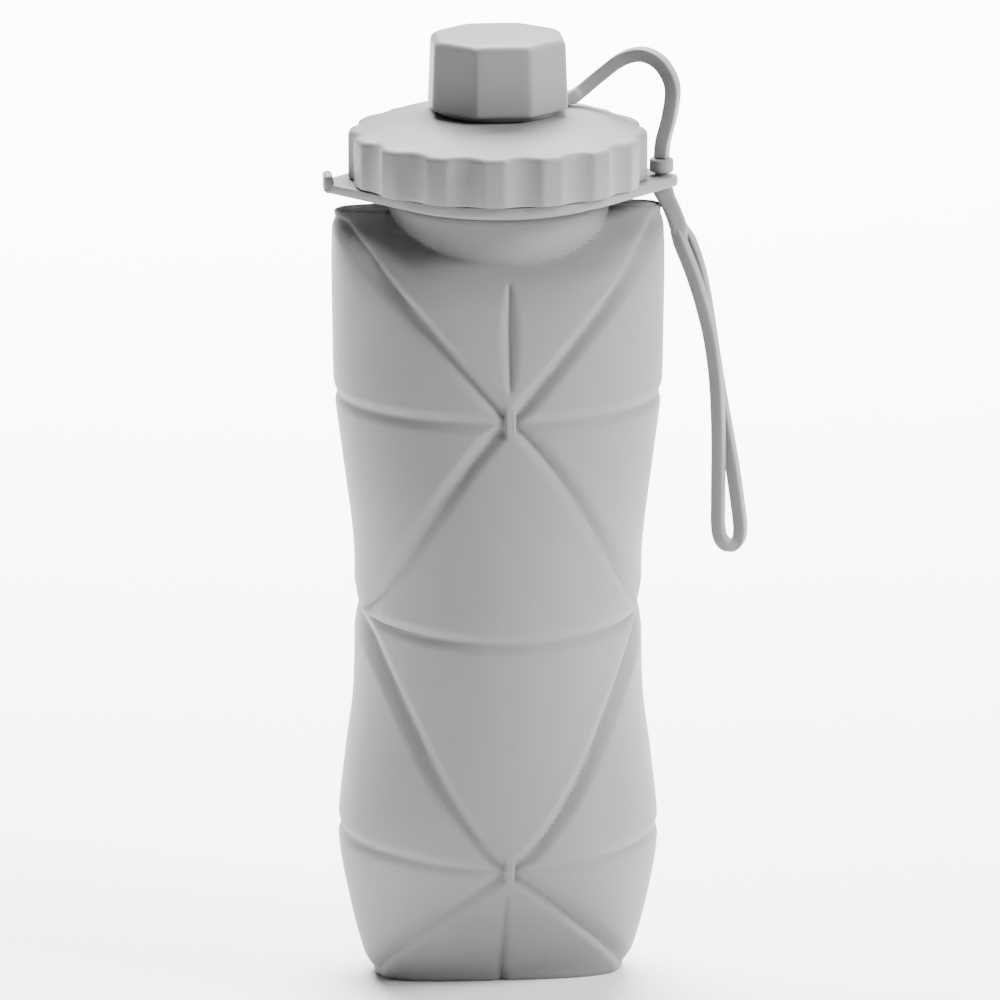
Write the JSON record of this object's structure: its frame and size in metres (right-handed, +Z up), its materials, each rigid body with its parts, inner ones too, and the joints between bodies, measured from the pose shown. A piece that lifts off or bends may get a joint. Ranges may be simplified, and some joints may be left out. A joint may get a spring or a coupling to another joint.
{
  "type": "folding water bottle",
  "caption": "Soft silicone travel bottle that folds down in height, with a scalloped screw collar, an octagonal spout cap, a tether and a lanyard loop.",
  "frame": {"origin": "middle of the foot, on the surface the bottle stands on", "axes": "+Z up along the neck axis, +X along the top ridge towards the eyelet and lanyard, front faces -Y"},
  "size_m": [0.0973, 0.074, 0.2216],
  "materials": {
    "silicone_body": "matte",
    "silicone_trim": "matte",
    "lid_shell": "matte",
    "thread_plastic": "satin",
    "seal": "satin"
  },
  "bodies": {
    "base": {"base_section": "silicone_body", "lower_fold_wall": "silicone_body"},
    "waist": {"waist_band": "silicone_body", "upper_fold_wall": "silicone_body"},
    "shoulder": {"shoulder_section": "silicone_body", "neck_thread_ring": "thread_plastic", "neck_sleeve": "seal"},
    "lid_carrier": {"lid_gasket": "seal"},
    "lid": {"collar_lid": "lid_shell", "spout": "thread_plastic"},
    "cap_carrier": {"spout_cap_seal": "seal"},
    "cap": {"spout_cap": "lid_shell"},
    "band": {"neck_band": "silicone_trim", "tether": "silicone_trim", "stopper_bead": "silicone_trim"},
    "tether_end": {"cap_tether_ring": "silicone_trim"},
    "junction": {"lanyard_junction": "silicone_trim"},
    "loop": {"lanyard_loop": "silicone_trim"}
  },
  "joints": [
    {"name": "collapse_lower", "type": "slide", "parent": "base", "child": "waist", "axis": [0, 0, -1], "range_m": [0, 0.033], "deforming": ["lower_fold_wall"]},
    {"name": "collapse_upper", "type": "slide", "parent": "waist", "child": "shoulder", "axis": [0, 0, -1], "range_m": [0, 0.033], "deforming": ["upper_fold_wall"]},
    {"name": "lid_lift", "type": "slide", "parent": "shoulder", "child": "lid_carrier", "axis": [0, 0, 1], "range_m": [0, 0.0101]},
    {"name": "lid_turn", "type": "hinge", "parent": "lid_carrier", "child": "lid", "pos_m": [0, 0, 0.19], "axis": [0, 0, 1], "range_deg": [0, 720]},
    {"name": "cap_lift", "type": "slide", "parent": "lid", "child": "cap_carrier", "axis": [0, 0, 1], "range_m": [0, 0.0121]},
    {"name": "cap_turn", "type": "hinge", "parent": "cap_carrier", "child": "cap", "pos_m": [0, 0, 0.21], "axis": [0, 0, 1], "range_deg": [0, 1080]},
    {"name": "band_swivel", "type": "hinge", "parent": "lid_carrier", "child": "band", "pos_m": [0, 0, 0.187], "axis": [0, 0, 1], "range_deg": [-180, 180]},
    {"name": "tether_lift", "type": "slide", "parent": "band", "child": "tether_end", "axis": [0, 0, 1], "range_m": [0, 0.0121]},
    {"name": "lanyard_swing", "type": "hinge", "parent": "band", "child": "junction", "pos_m": [0.0382, 0, 0.184], "axis": [0, -1, 0], "range_deg": [0, 55]},
    {"name": "loop_swing", "type": "hinge", "parent": "junction", "child": "loop", "pos_m": [0.0413, 0, 0.1788], "axis": [1, 0, 0], "range_deg": [-45, 45]}
  ],
  "couplings": [
    {"joint": "collapse_upper", "follows": "collapse_lower", "ratio": 1},
    {"joint": "lid_lift", "follows": "lid_turn", "m_per_rad": 0.00079577},
    {"joint": "cap_lift", "follows": "cap_turn", "m_per_rad": 0.00063662},
    {"joint": "tether_lift", "follows": "cap_turn", "m_per_rad": 0.00063662}
  ]
}
